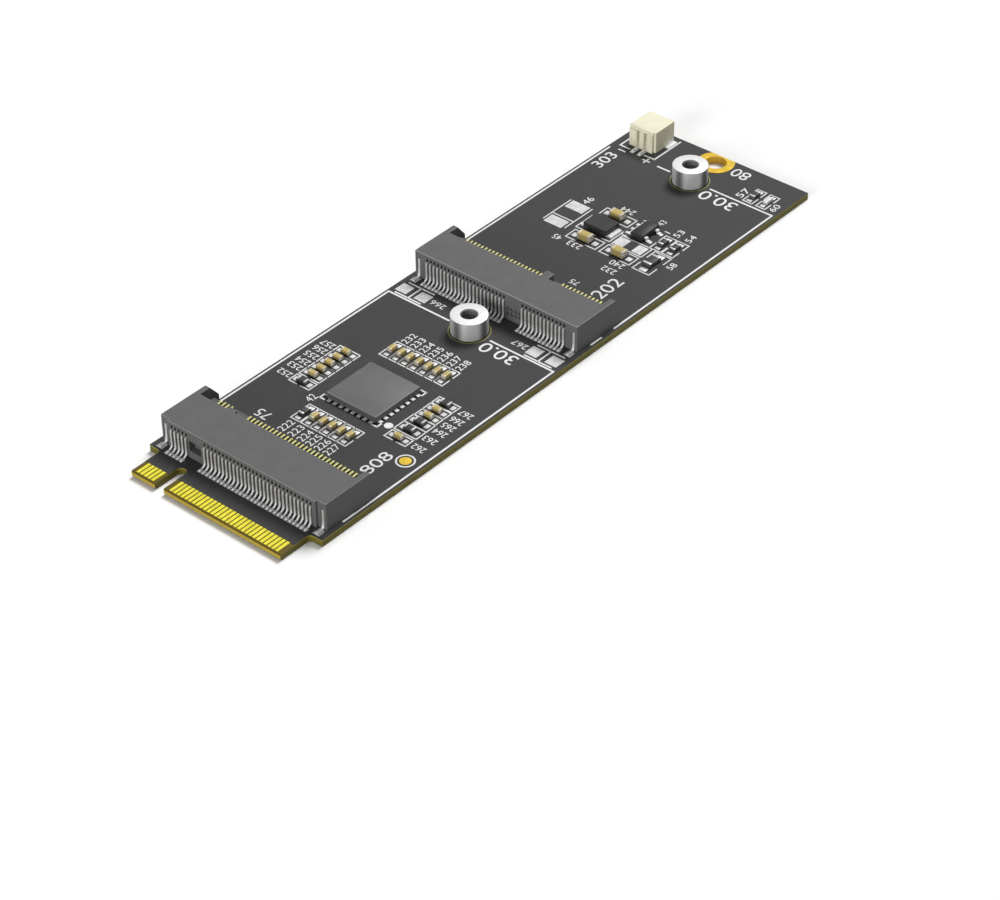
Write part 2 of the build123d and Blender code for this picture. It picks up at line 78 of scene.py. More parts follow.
def take(piece):
    deselect()
    piece.select_set(True)
    bpy.context.view_layer.objects.active = piece


def finished(piece, finish, *nodes):
    """The piece rides on the card, wears the finish and stands for the nodes."""
    piece.data.materials.clear()
    piece.data.materials.append(finish.material)
    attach(piece, "root")
    if nodes:
        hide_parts(*nodes)
    return piece


def copy_of(node, name):
    """A welded copy of a node's mesh, with its flat faces made whole."""
    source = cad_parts[node]
    piece = bpy.data.objects.new(name, source.data.copy())
    bpy.context.scene.collection.objects.link(piece)
    take(piece)
    bpy.ops.object.mode_set(mode="EDIT")
    bpy.ops.mesh.select_all(action="SELECT")
    bpy.ops.mesh.remove_doubles(threshold=WELD)
    bpy.ops.mesh.dissolve_limited(angle_limit=FLAT)
    bpy.ops.object.mode_set(mode="OBJECT")
    return piece


def soften(piece, width, steps=2, angle=SHARP):
    """Rounds the edges sharper than the angle in degrees, and shades the rounds smooth."""
    take(piece)
    rounds = piece.modifiers.new("rounds", "BEVEL")
    rounds.width = width
    rounds.segments = steps
    rounds.limit_method = "ANGLE"
    rounds.angle_limit = math.radians(angle)
    rounds.harden_normals = True
    bpy.ops.object.modifier_apply(modifier=rounds.name)
    bpy.ops.object.shade_smooth_by_angle(angle=math.radians(angle))
    return piece


def rounded(node, name, width, finish, steps=2):
    """Stands for the node: the same shape with rounded edges."""
    piece = soften(copy_of(node, name), width * MM, steps)
    return finished(piece, finish, node)


def dressed(node, finish):
    """The node keeps its shape and wears the finish."""
    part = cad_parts[node]
    part.data.materials.clear()
    part.data.materials.append(finish.material)


# Finishes
class Wire:
    """A socket whose number changes over a surface."""

    def __init__(self, finish, socket):
        self.finish = finish
        self.socket = socket

    def maths(self, operation, first, second):
        return self.finish.node("ShaderNodeMath", {"operation": operation}, {0: first, 1: second})

    def __add__(self, other):
        return self.maths("ADD", self, other)

    __radd__ = __add__

    def __mul__(self, other):
        return self.maths("MULTIPLY", self, other)

    __rmul__ = __mul__

    def __sub__(self, other):
        return self.maths("SUBTRACT", self, other)

    def __rsub__(self, other):
        return self.maths("SUBTRACT", other, self)

    def __gt__(self, other):
        return self.maths("GREATER_THAN", self, other)

    def __lt__(self, other):
        return self.maths("LESS_THAN", self, other)

    def __abs__(self):
        return self.maths("ABSOLUTE", self, 0)

    def within(self, low, high):
        """One between the two limits, and nought outside."""
        return (self > low) * (self < high)


class Finish:
    """One procedural material and the record's slot that it belongs to."""

    def __init__(self, name, slot):
        self.slot = slot
        self.material = bpy.data.materials.new(name)
        self.material.use_nodes = True
        self.tree = self.material.node_tree
        self.tree.nodes.clear()

    def node(self, kind, settings=None, inputs=None, output=0):
        """Any node: its settings are set first, then the values or links of its sockets."""
        made = self.tree.nodes.new(kind)
        for key, value in (settings or {}).items():
            setattr(made, key, value)
        for key, value in (inputs or {}).items():
            if isinstance(value, Wire):
                self.tree.links.new(value.socket, made.inputs[key])
            else:
                made.inputs[key].default_value = value
        return Wire(self, made.outputs[output])

    def place(self, axis=None):
        """The place on the object, or one number of it."""
        spot = self.node("ShaderNodeTexCoord", output="Object")
        if axis is None:
            return spot
        return self.node("ShaderNodeSeparateXYZ", {}, {0: spot}, axis)

    def facing(self, axis):
        """How far the surface faces along an axis, from -1 to 1."""
        normal = self.node("ShaderNodeNewGeometry", output="True Normal")
        return self.node("ShaderNodeSeparateXYZ", {}, {0: normal}, axis)

    def stretched(self, scale):
        return self.node("ShaderNodeMapping", {}, {0: self.place(), 3: scale})

    def noise(self, size_mm, detail=3, stretch=(1, 1, 1)):
        """A number from 0 to 1 in patches of about the given size."""
        scale = 1 / (size_mm * MM)
        spot = self.stretched([scale * s for s in stretch])
        return self.node("ShaderNodeTexNoise", {}, {"Vector": spot, "Scale": 1, "Detail": detail})

    def ramp(self, value, low, high, start=0, end=1):
        """Runs from start to end while the value runs from low to high."""
        inputs = {0: value, 1: low, 2: high, 3: start, 4: end}
        return self.node("ShaderNodeMapRange", {"clamp": True}, inputs)

    def mix(self, share, first, second):
        """The first colour where the share is nought, and the second where it is one."""
        return self.node("ShaderNodeMix", {"data_type": "RGBA"}, {0: share, 6: first, 7: second}, 2)

    def near(self, x, y, reach_mm):
        """One inside a circle about a place on the board, and nought outside."""
        along = self.place(0) - (TIP_X + x * MM)
        across = self.place(1) - y * MM
        return (along * along + across * across) < (reach_mm * MM) ** 2

    def surface(self, colour, roughness, metallic=0.0, bump=None, depth_mm=0.01, gloss=0.5):
        inputs = {"Base Color": colour, "Roughness": roughness, "Metallic": metallic,
                  "Specular IOR Level": gloss}
        if bump is not None:
            height = {"Height": bump, "Strength": 1, "Distance": depth_mm * MM}
            inputs["Normal"] = self.node("ShaderNodeBump", {}, height)
        shader = self.node("ShaderNodeBsdfPrincipled", {}, inputs)
        self.tree.links.new(shader.socket, self.tree.nodes.new("ShaderNodeOutputMaterial").inputs[0])
        return self


def grey(level):
    return (level, level, level, 1)


# Sockets: name, x of the back, x of its middle from there, first and last pin that the key leaves out
SOCKETS = (("m_key_socket", 5.3, -0.27, 59, 66), ("e_key_socket", 42.3, 0.0, 24, 31))
HOLE_LOW, HOLE_HIGH = 2.46, 2.78
HOLES_END = 9.6
HOLE_DEPTH = 1.2
SEAM_LINE, SEAM_HALF = 0.55, 0.08

# Board: holes, the square of painted shade round the chip, where the mask starts, rings round the standoffs
STANDOFF_XS = (38.3, 75.3)
END_HOLE_X = 80.0
BARREL_RADIUS = 1.27
BORE_RADIUS = 0.94
CHIP_X, CHIP_Y = 23.85, 0.1
CHIP_SHADE_HALF = 3.78
MASK_START = 1.9
MASK_DEPTH = 0.05
CHAMFER_END = 0.3
COPPER_LOW, COPPER_HIGH = 0.14, 0.06
RING_IN, RING_OUT = 2.13, 2.26


def board_finish():
    """Dark mask on both faces, bare laminate at the tongue and on the edge, plated holes and rings, with
    painted shade in a near-black square round the chip and in a band round each standoff's foot.
    """
    paint = Finish("solder_mask", "mask_and_laminate")
    grain = paint.noise(0.6, 4)
    x, y, height = paint.place(0) - TIP_X, paint.place(1), paint.place(2)
    mask = paint.mix(paint.ramp(grain, 0.3, 0.7), (0.045, 0.045, 0.046, 1), (0.053, 0.053, 0.054, 1))
    # Painted shade: a near-black square under and round the chip, dark among its pads.
    painted_chip_shade = (abs(x - CHIP_X * MM) < CHIP_SHADE_HALF * MM) * (abs(y - CHIP_Y * MM) < CHIP_SHADE_HALF * MM)
    mask = paint.mix(painted_chip_shade, mask, grey(0.008))
    bare = x < MASK_START * MM
    colour = paint.mix(bare, mask, (0.13, 0.095, 0.008, 1))
    above, below = paint.facing(2) > 0.5, paint.facing(2) < -0.5
    # On top a dim gold ring round each standoff, with painted shade in a near-black band at the post's
    # foot; below, a bright gold ring.
    for hole_x in STANDOFF_XS:
        colour = paint.mix(paint.near(hole_x, 0, RING_OUT) * above, colour, (0.28, 0.27, 0.09, 1))
        colour = paint.mix(paint.near(hole_x, 0, RING_IN) * above, colour, grey(0.015))
        colour = paint.mix(paint.near(hole_x, 0, RING_OUT) * below, colour, (0.95, 0.64, 0.06, 1))
    flat = above + below
    layers = paint.noise(0.05, 3, (0.03, 0.03, 1))
    laminate = paint.mix(paint.ramp(layers, 0.35, 0.65), (0.11, 0.095, 0.010, 1), (0.22, 0.19, 0.025, 1))
    tip = (x < CHAMFER_END * MM) * paint.ramp(paint.facing(0), -0.9, -0.2, 1, 0)
    laminate = paint.mix(tip, laminate, (0.52, 0.37, 0.05, 1))
    copper_line = height.within(BOARD_TOP - COPPER_LOW * MM, BOARD_TOP - COPPER_HIGH * MM)
    laminate = paint.mix(copper_line, laminate, (0.40, 0.36, 0.08, 1))
    skin = (height > BOARD_TOP - MASK_DEPTH * MM) + (height < MASK_DEPTH * MM)
    laminate = paint.mix(skin * (x > MASK_START * MM), laminate, grey(0.04))
    colour = paint.mix(flat, laminate, colour)
    barrel = paint.near(END_HOLE_X, 0, BARREL_RADIUS)
    for hole_x in STANDOFF_XS:
        barrel = barrel + paint.near(hole_x, 0, BARREL_RADIUS)
    colour = paint.mix(barrel, colour, (0.95, 0.66, 0.10, 1))
    rough = paint.ramp(grain, 0.3, 0.7, 0.5, 0.6)
    return paint.surface(colour, rough, barrel * 0.5, paint.noise(0.12, 2), 0.003, 0.25)


def metal_finish(name, slot, colour, roughness, spread, metallic):
    """Plated metal with faint patches."""
    paint = Finish(name, slot)
    patches = paint.noise(0.6, 3)
    dim = [0.86 * c for c in colour[:3]] + [1]
    shade = paint.mix(paint.ramp(patches, 0.35, 0.65), dim, colour)
    rough = paint.ramp(patches, 0.3, 0.7, roughness - spread, roughness + spread)
    return paint.surface(shade, rough, metallic, paint.noise(0.08, 2), 0.002)


def spring_finish():
    """Plated legs turning white towards the foot: solder there, and a painted highlight that brightens the
    feet in shade.
    """
    paint = Finish("contact_tin", "contact_metal")
    patches = paint.noise(0.6, 3)
    plated = paint.mix(patches, (0.50, 0.49, 0.47, 1), (0.62, 0.61, 0.59, 1))
    # Whiter towards the foot: solder, and a painted highlight on the feet.
    foot = paint.ramp(paint.place(2), BOARD_TOP + 0.25 * MM, BOARD_TOP + 1.2 * MM, 1, 0)
    rough = paint.ramp(patches, 0.3, 0.7, 0.34, 0.46)
    return paint.surface(paint.mix(foot, plated, grey(1.0)), rough, 0.25, paint.noise(0.08, 2), 0.002)


def terminal_finish():
    """Cream-white fired ends above, bright tin where they meet the board."""
    paint = Finish("terminal_tin", "terminal_tin")
    patches = paint.noise(0.3, 3)
    fired = paint.mix(patches, (0.62, 0.56, 0.44, 1), (0.86, 0.80, 0.68, 1))
    tin = paint.mix(patches, grey(0.55), grey(0.8))
    low = paint.place(2) < BOARD_TOP + 0.06 * MM
    rough = paint.ramp(patches, 0.3, 0.7, 0.3, 0.45)
    return paint.surface(paint.mix(low, fired, tin), rough, 0.35, paint.noise(0.1, 2), 0.004)


def cap_finish():
    """Resistor ends: bright tin over the top, and painted shade darkening the upright faces."""
    paint = Finish("cap_tin", "terminal_tin")
    patches = paint.noise(0.4, 3)
    bright = paint.mix(patches, grey(0.68), grey(0.86))
    upright_painted_shade = paint.mix(patches, grey(0.09), grey(0.15))
    rough = paint.ramp(patches, 0.3, 0.7, 0.34, 0.46)
    # Painted shade: faces that don't face up are coloured dark.
    shade = paint.mix(paint.facing(2) > 0.5, upright_painted_shade, bright)
    return paint.surface(shade, rough, 0.2, paint.noise(0.08, 2), 0.002)


def plastic_finish(name, slot, colour, roughness, gloss=0.3, grain_mm=0.1, edge_highlight=0, edge_highlight_mm=0, holes=False):
    """Plastic, ceramic or ink: it may have a painted highlight along its upper edges with painted shade on
    faces sloping towards +x, and painted shade inside the holes over the legs.
    """
    paint = Finish(name, slot)
    patches = paint.noise(1.5, 3)
    dim = [0.93 * c for c in colour[:3]] + [1]
    shade = paint.mix(paint.ramp(patches, 0.35, 0.65), dim, colour)
    # Painted highlight: pale colour on the rounds of the upper edges, left off at the back wall's seam.
    if edge_highlight:
        top = paint.place(2) > BOARD_TOP + edge_highlight_mm * MM
        painted_edge_highlight = paint.facing(2).within(0.2, 0.95) * (paint.facing(0) < 0.5) * top
        for _, x, _, _, _ in SOCKETS:
            seam = TIP_X + (x + SEAM_LINE) * MM
            painted_edge_highlight = painted_edge_highlight * (1 - paint.place(0).within(seam - SEAM_HALF * MM, seam + SEAM_HALF * MM))
        shade = paint.mix(painted_edge_highlight, shade, grey(edge_highlight))
        # Painted shade: faces that slope towards +x are darkened.
        front = paint.facing(0).within(0.6, 0.9)
        shade = paint.mix(front, shade, grey(0.4 * colour[0]))
    # Painted shade: the leg holes in the back wall are coloured near-black inside.
    if holes:
        low, high = BOARD_TOP + (HOLE_LOW - 0.01) * MM, BOARD_TOP + (HOLE_HIGH + 0.01) * MM
        painted_band = paint.place(2).within(low, high) * (abs(paint.place(1)) < HOLES_END * MM)
        for _, x, wall, _, _ in SOCKETS:
            start = TIP_X + (x + wall + 0.02) * MM
            inside = paint.place(0).within(start, start + HOLE_DEPTH * MM) * painted_band
            shade = paint.mix(inside, shade, grey(0.004))
    rough = paint.ramp(patches, 0.3, 0.7, roughness - 0.05, roughness + 0.05)
    return paint.surface(shade, rough, 0, paint.noise(grain_mm, 3), 0.003, gloss)


def standoff_finish():
    """A top painted near-white as a highlight, a plated side painted in four soft bands of reflection, and
    painted shade in the tapped bore.
    """
    paint = Finish("standoff_plating", "plated_steel")
    patches = paint.noise(0.5, 3, (1, 1, 0.2))
    # Painted highlight: the top faces are near-white.
    flat = paint.facing(2) > 0.6
    # Painted reflection: the side is dark where it faces along x or y and lighter between, in four soft
    # bands.
    painted_band = paint.ramp(abs(paint.facing(0) * paint.facing(1)), 0.1, 0.36)
    side = paint.mix(painted_band, grey(0.17), paint.mix(patches, grey(0.54), grey(0.70)))
    colour = paint.mix(flat, side, grey(0.97))
    # Painted shade: the bore is darker inside.
    bore = paint.near(STANDOFF_XS[0], 0, BORE_RADIUS) + paint.near(STANDOFF_XS[1], 0, BORE_RADIUS)
    colour = paint.mix(bore, colour, grey(0.26))
    turning = paint.noise(0.3, 2, (0.1, 0.1, 6))
    return paint.surface(colour, paint.ramp(patches, 0.3, 0.7, 0.3, 0.38), 0.2, turning, 0.001)


BOARD = board_finish()
FINGER_GOLD = metal_finish("finger_gold", "gold_contact", (0.98, 0.88, 0.05, 1), 0.42, 0.05, 0.25)
RING_GOLD = metal_finish("ring_gold", "gold_contact", (0.98, 0.66, 0.05, 1), 0.38, 0.05, 0.25)
TIN = metal_finish("pad_tin", "tin_pad", grey(0.76), 0.45, 0.08, 0.25)
WHITE_TIN = metal_finish("white_tin", "tin_pad", grey(0.95), 0.4, 0.06, 0.15)
CAP_TIN = cap_finish()
# Solder coloured near-black: painted shade beside the chip parts' bodies.
SOLDER_IN_PAINTED_SHADE = metal_finish("solder_painted_shade", "tin_pad", grey(0.03), 0.3, 0.05, 0.2)
STEEL = standoff_finish()
CONTACT = spring_finish()
GILT = metal_finish("contact_gilt", "gilt_contact", (0.96, 0.91, 0.36, 1), 0.35, 0.05, 0.2)
TERMINAL = terminal_finish()
# The socket and the chip get a painted highlight on their upper edges and painted shade on their sloped
# fronts; the socket also gets painted shade in its leg holes.
SOCKET = plastic_finish("socket_moulding", "socket_plastic", grey(0.146), 0.55, 0.12,
                        edge_highlight=0.34, edge_highlight_mm=3.1, holes=True)
CHIP = plastic_finish("chip_moulding", "chip_epoxy", grey(0.165), 0.5, 0.2, edge_highlight=0.3, edge_highlight_mm=0.6)
BLACK = plastic_finish("black_moulding", "black_epoxy", grey(0.040), 0.45)
TAN = plastic_finish("tan_ceramic", "capacitor_ceramic", (0.62, 0.49, 0.18, 1), 0.4, 0.4, 0.06)
GLAZE = plastic_finish("resistor_film", "resistor_glaze", grey(0.08), 0.4, 0.3)
CREAM = plastic_finish("header_moulding", "header_nylon", (0.93, 0.89, 0.68, 1), 0.5)
RESIN = plastic_finish("light_resin", "led_resin", (0.9, 0.9, 0.87, 1), 0.25, 0.5)
INK = plastic_finish("white_print", "white_ink", grey(0.9), 0.6, 0.2)


# Nodes that keep their shape
def dress_nodes():
    for node, finish in (
        ("circuit_board", BOARD), ("edge_fingers_top", FINGER_GOLD), ("edge_fingers_bottom", FINGER_GOLD),
        ("end_hole_plating", RING_GOLD), ("switch_chip_pads", WHITE_TIN), ("bare_pads", TIN),
        ("module_outline_marks", INK), ("coil_terminals", WHITE_TIN), ("regulator_leads", WHITE_TIN),
        ("cable_header_pins", WHITE_TIN), ("cable_header_nails", WHITE_TIN),
    ):
        dressed(node, finish)


def round_nodes():
    for name, _, _, _, _ in SOCKETS:
        rounded(name + "_lower_contacts", name + "_lower_springs", 0.02, GILT, 1)
    rounded("switch_chip", "switch_chip_case", 0.04, CHIP)
    rounded("coil_body", "coil_case", 0.04, BLACK)
    rounded("regulator_body", "regulator_case", 0.04, BLACK)
    rounded("cable_header_housing", "cable_header_case", 0.05, CREAM)


# Pieces shaped from given sizes
def block(low, high, edge):
    """A block between two corners, with its edges rounded where edge isn't nought."""
    low, high = Vector(low) * MM, Vector(high) * MM
    deselect()
    bpy.ops.mesh.primitive_cube_add(size=1, location=(low + high) / 2, scale=high - low)
    bpy.ops.object.transform_apply()
    return soften(bpy.context.object, edge * MM) if edge else bpy.context.object


def joined(pieces, name):
    deselect()
    for piece in pieces:
        piece.select_set(True)
    bpy.context.view_layer.objects.active = pieces[0]
    if len(pieces) > 1:
        bpy.ops.object.join()
    pieces[0].name = name
    pieces[0].data.name = name
    return pieces[0]


def both_ends(low, high, edge):
    """A block and its mirror image at the other end."""
    turned_low, turned_high = (-high[0], low[1], low[2]), (-low[0], high[1], high[2])
    return joined([block(low, high, edge), block(turned_low, turned_high, edge)], "pair")


def set_out(model, name, places):
    """Copies of a model made about the origin, one at each (x, y, turned), joined into one piece."""
    copies = []
    for x, y, is_turned in places:
        copy = bpy.data.objects.new(name, model.data.copy())
        bpy.context.scene.collection.objects.link(copy)
        turn = Matrix.Rotation(math.pi / 2 if is_turned else 0, 4, "Z")
        copy.data.transform(Matrix.Translation((TIP_X + x * MM, y * MM, BOARD_TOP)) @ turn)
        copies.append(copy)
    bpy.data.objects.remove(model)
    return joined(copies, name)


# Chip parts, each at (x, y, turned by a quarter)
SIDE_ROW = [(22.45 + 1.22 * k, 7.05, True) for k in range(5)]
REAR_ROW = [(17.33, 2.0 - 1.19 * k, False) for k in range(5)]
MOUTH_ROW = [(30.75, 3.8 - 1.217 * k, False) for k in range(7)]
LOW_ROW = [(20.25, -6.5, True), (24.65, -6.5, True), (25.9, -6.5, True)]
SMALL_CAPACITORS = SIDE_ROW + REAR_ROW + MOUTH_ROW + LOW_ROW
LONE_RESISTORS = [(20.95, 7.05, True), (17.33, 3.35, False), (27.25, -6.5, True), (77.2, -7.45, False)]
JOINED_RESISTORS = [(21.9, -6.5, True), (23.4, -6.5, True)]
PAIR_RESISTORS = [(63.5, -5.5, False), (63.5, -7.1, False)]
LAMP_PLACES = [(77.2, -9.2, False)]
POWER_CAPACITORS = [(58.9, 1.5, True), (64.4, 1.5, True), (58.9, -3.1, True)]
LARGE_RESISTOR = [(59.85, -6.8, False)]
INSET = 0.02
FOOT = 0.05
LAND_HEIGHT = 0.035
LAND_EDGE = 0.012


def chip_parts(name, ending, places, size, cap, land, finishes):
    """Fired blocks between two wrapped ends, with solder at their feet painted near-black as shade, and
    bare lands beyond.

    The size is length, width and height, the cap is as long as each end's wrap, and the land is given by
    where it starts, where it ends and half its width.
    """
    end, half, height = size[0] / 2, size[1] / 2, size[2]
    land_start, land_end, land_half = land
    body_look, cap_look = finishes
    core = block((cap - end, INSET - half, FOOT), (end - cap, half - INSET, height - INSET), 0.03)
    finished(set_out(core, name + "_blocks", places), body_look, name + ending)
    caps = both_ends((end - cap, -half, 0), (end, half, height), 0.04)
    finished(set_out(caps, name + "_caps", places), cap_look, name + "_terminals")
    # The solder between each end and its land is coloured as painted shade.
    solder_half = half - 2 * INSET
    solder = both_ends((end - INSET, -solder_half, 0), (land_start + INSET, solder_half, FOOT), 0.02)
    finished(set_out(solder, name + "_solder", places), SOLDER_IN_PAINTED_SHADE)
    lands = both_ends((land_start, -land_half, 0), (land_end, land_half, LAND_HEIGHT), LAND_EDGE)
    finished(set_out(lands, name + "_lands", places), WHITE_TIN)


def all_chip_parts():
    chip_parts("small_capacitor", "_bodies", SMALL_CAPACITORS, (1.04, 0.58, 0.52), 0.15,
               (0.64, 1.16, 0.27), (TAN, TERMINAL))
    chip_parts("small_resistor", "_bodies", LONE_RESISTORS + JOINED_RESISTORS + PAIR_RESISTORS,
               (1.22, 0.72, 0.44), 0.24, (0.69, 1.18, 0.31), (GLAZE, CAP_TIN))
    chip_parts("indicator_led", "_body", LAMP_PLACES, (1.06, 0.60, 0.42), 0.16,
               (0.66, 1.16, 0.27), (RESIN, WHITE_TIN))
    chip_parts("power_capacitor", "_bodies", POWER_CAPACITORS, (1.64, 0.92, 0.82), 0.25,
               (1.06, 1.70, 0.34), (TAN, TERMINAL))
    chip_parts("large_resistor", "_body", LARGE_RESISTOR, (1.86, 1.1, 0.54), 0.31,
               (1.04, 1.74, 0.44), (GLAZE, CAP_TIN))


# Pins are numbered across the board, odd ones in the upper row
PIN_COUNT = 75
MIDDLE_PIN = 38
PIN_STEP = 0.25


def pin_y(pin):
    return (pin - MIDDLE_PIN) * PIN_STEP


def upper_ys(first_left_out, last_left_out):
    pins = range(1, PIN_COUNT + 1, 2)
    return [pin_y(pin) for pin in pins if not first_left_out <= pin <= last_left_out]


def strip(path, width, thickness, edge=0.02):
    """A bent strip of sprung metal: its middle line runs through (x, height) about y = 0."""
    line = bpy.data.curves.new("strip", "CURVE")
    line.dimensions = "2D"
    line.fill_mode = "NONE"
    line.extrude = width * MM / 2
    spline = line.splines.new("NURBS")
    spline.points.add(len(path) - 1)
    for point, (x, z) in zip(spline.points, path):
        point.co = (x * MM, z * MM, 0, 1)
    spline.order_u = 3
    spline.use_endpoint_u = True
    spline.resolution_u = 3
    piece = bpy.data.objects.new("strip", line)
    bpy.context.scene.collection.objects.link(piece)
    take(piece)
    bpy.ops.object.convert(target="MESH")
    piece.data.transform(Matrix.Rotation(math.pi / 2, 4, "X"))
    wall = piece.modifiers.new("wall", "SOLIDIFY")
    wall.thickness = thickness * MM
    wall.offset = 0
    bpy.ops.object.modifier_apply(modifier=wall.name)
    return soften(piece, edge * MM, 1, 60)


# A socket, from its back: its strips' width and thickness, the tabs, and the back wall made for it
LEG_WIDTH, LEG_SHEET = 0.2, 0.12
TAB_WIDTH, TAB_SHEET = 0.3, 0.14
TAB_Y = 10.45
TAB_PATH = [(0.1, 2.3), (0.09, 1.2), (0.06, 0.5), (-0.02, 0.12), (-0.35, 0.08), (-0.95, 0.08)]
TAB_SLOT_HALF, TAB_SLOT_DEPTH, TAB_SLOT_TOP = 0.2, 0.18, 2.36
HALF_WIDTH = 10.945
MIDDLE_END = 9.85
ROOF = 3.195
SEAM = 0.6
SEAM_ROUND = 0.06
SOCKET_EDGE = 0.05
LIP_START, LIP_END, LIP_TOP = 6.55, 7.5, 1.9
EAR_INSIDE = 10.35
HOLE_REACH = 0.11
POCKET_HALF, POCKET_DEPTH, POCKET_LOW, POCKET_HIGH = 0.8, 0.45, 0.85, 2.1
CELL_HALF, CELL_DEPTH, CELL_STEP, CELL_LOWS = 0.18, 0.16, 0.56, (0.7, 1.26)
THIN_LAND = 0.03
CLEAR = 0.2


def leg_path(wall):
    """A contact from its tip in the mouth, out through the back and down to its foot."""
    leg = wall - 0.14
    return [(4.4, 2.66), (2.2, 2.45), (0.3, 2.3), (leg + 0.08, 2.3), (leg, 2.26), (leg, 1.2), (leg, 0.5),
            (leg, 0.38), (leg - 0.3, 0.12), (leg - 0.38, 0.08), (leg - 0.8, 0.08)]


def boolean(piece, other, operation):
    """Adds the other piece or cuts it away, and removes it."""
    take(piece)
    step = piece.modifiers.new("step", "BOOLEAN")
    step.operation = operation
    step.solver = "EXACT"
    step.object = other
    bpy.ops.object.modifier_apply(modifier=step.name)
    bpy.data.objects.remove(other)


def wall_cuts(name, wall, ys, key_y):
    """What is cut from the back wall: the tab slots, a hole over each leg, a pocket or cells by the key."""
    outside = wall - CLEAR
    cuts = []
    for y in (-TAB_Y, TAB_Y):
        cuts.append(block((-0.5, y - TAB_SLOT_HALF, -CLEAR),
                          (TAB_SLOT_DEPTH, y + TAB_SLOT_HALF, TAB_SLOT_TOP), 0))
    for y in ys:
        cuts.append(block((outside, y - HOLE_REACH, HOLE_LOW), (0.25, y + HOLE_REACH, HOLE_HIGH), 0))
    if name == "m_key_socket":
        cuts.append(block((outside, key_y - POCKET_HALF, POCKET_LOW),
                          (POCKET_DEPTH, key_y + POCKET_HALF, POCKET_HIGH), 0))
    else:
        for low in CELL_LOWS:
            for k in range(4):
                y = key_y + (k - 1.5) * CELL_STEP
                cuts.append(block((outside, y - CELL_HALF, low),
                                  (CELL_DEPTH, y + CELL_HALF, low + 2 * CELL_HALF), 0))
    return joined(cuts, "cuts")


def back_wall(name, wall, ys, key_y):
    """The back wall, flush with its ends or standing out between them, made about the origin."""
    end = SEAM + SEAM_ROUND
    piece = block((0, -HALF_WIDTH, 0), (end, HALF_WIDTH, ROOF), 0)
    if wall:
        boolean(piece, block((wall, -MIDDLE_END, 0), (end, MIDDLE_END, ROOF), 0), "UNION")
    soften(piece, SEAM_ROUND * MM)
    boolean(piece, wall_cuts(name, wall, ys, key_y), "DIFFERENCE")
    return piece


def socket_moulding(name, x, wall, ys, key_y):
    """The housing with its floor's lip cut back, and a detailed back wall in place of the plain one."""
    place = Matrix.Translation((TIP_X + x * MM, 0, BOARD_TOP))
    piece = copy_of(name + "_housing", name + "_moulding")
    lip = block((LIP_START, -EAR_INSIDE, -CLEAR), (LIP_END, EAR_INSIDE, LIP_TOP), 0)
    plain_back = block((-1, -12, -0.5), (SEAM - 0.1, 12, 4), 0)
    for cutter in (lip, plain_back):
        cutter.data.transform(place)
        boolean(piece, cutter, "DIFFERENCE")
    soften(piece, SOCKET_EDGE * MM)
    back = back_wall(name, wall, ys, key_y)
    back.data.transform(place)
    piece = joined([piece, back], name + "_moulding")
    take(piece)
    bpy.ops.object.shade_flat()
    finished(piece, SOCKET, name + "_housing")


def socket_details():
    for name, x, wall, first, last in SOCKETS:
        ys = upper_ys(first, last)
        legs = [(x, y, False) for y in ys]
        tabs = [(x, TAB_Y, False), (x, -TAB_Y, False)]
        socket_moulding(name, x, wall, ys, pin_y((first + last) / 2))
        leg = strip(leg_path(wall), LEG_WIDTH, LEG_SHEET)
        finished(set_out(leg, name + "_upper_springs", legs), CONTACT, name + "_upper_contacts")
        leg_land = block((wall - 1.1, -0.19, 0), (wall - 0.62, 0.19, THIN_LAND), 0.01)
        finished(set_out(leg_land, name + "_leg_lands", legs), WHITE_TIN)
        tab_land = block((-1.08, -0.42, 0), (-0.12, 0.42, THIN_LAND), 0.01)
        finished(set_out(tab_land, name + "_tab_lands", tabs), TIN)
        tab = strip(TAB_PATH, TAB_WIDTH, TAB_SHEET)
        finished(set_out(tab, name + "_solder_tabs", tabs), CONTACT, name + "_hold_down_tabs")


HEADER_X, HEADER_Y = 76.9, 8.05
HEADER_PIN_OFF = 0.5
REGULATOR_X, REGULATOR_PITCH = 63.8, 0.95
REGULATOR_NEAR_Y, REGULATOR_FAR_Y = -1.25, -4.05


def header_details():
    foot = block((-1.2, -0.25, 0), (-0.06, 0.25, 0.04), LAND_EDGE)
    pins = [(HEADER_X, HEADER_Y + off, False) for off in (-HEADER_PIN_OFF, HEADER_PIN_OFF)]
    finished(set_out(foot, "cable_header_pin_lands", pins), WHITE_TIN)
    lip = block((0.13, -1.5, 2.2), (0.45, 1.75, 2.65), 0.03)
    finished(set_out(lip, "cable_header_roof_lip", [(HEADER_X, HEADER_Y, False)]), CREAM)


def regulator_lands():
    land = block((-0.2, -0.34, 0), (0.2, 0.34, LAND_HEIGHT), LAND_EDGE)
    places = [(REGULATOR_X + REGULATOR_PITCH * k, REGULATOR_NEAR_Y, False) for k in (-1, 0, 1)]
    places += [(REGULATOR_X + REGULATOR_PITCH * k, REGULATOR_FAR_Y, False) for k in (-1, 1)]
    finished(set_out(land, "regulator_pin_lands", places), WHITE_TIN)


# Standoffs: the bore, the thread's root, its first turn and the rise of each turn
BORE, THREAD_ROOT = 0.84, 0.93
THREAD_START, THREAD_RISE, THREAD_TURNS = -0.5, 0.4, 6
SPIGOT_FOOT = -0.6


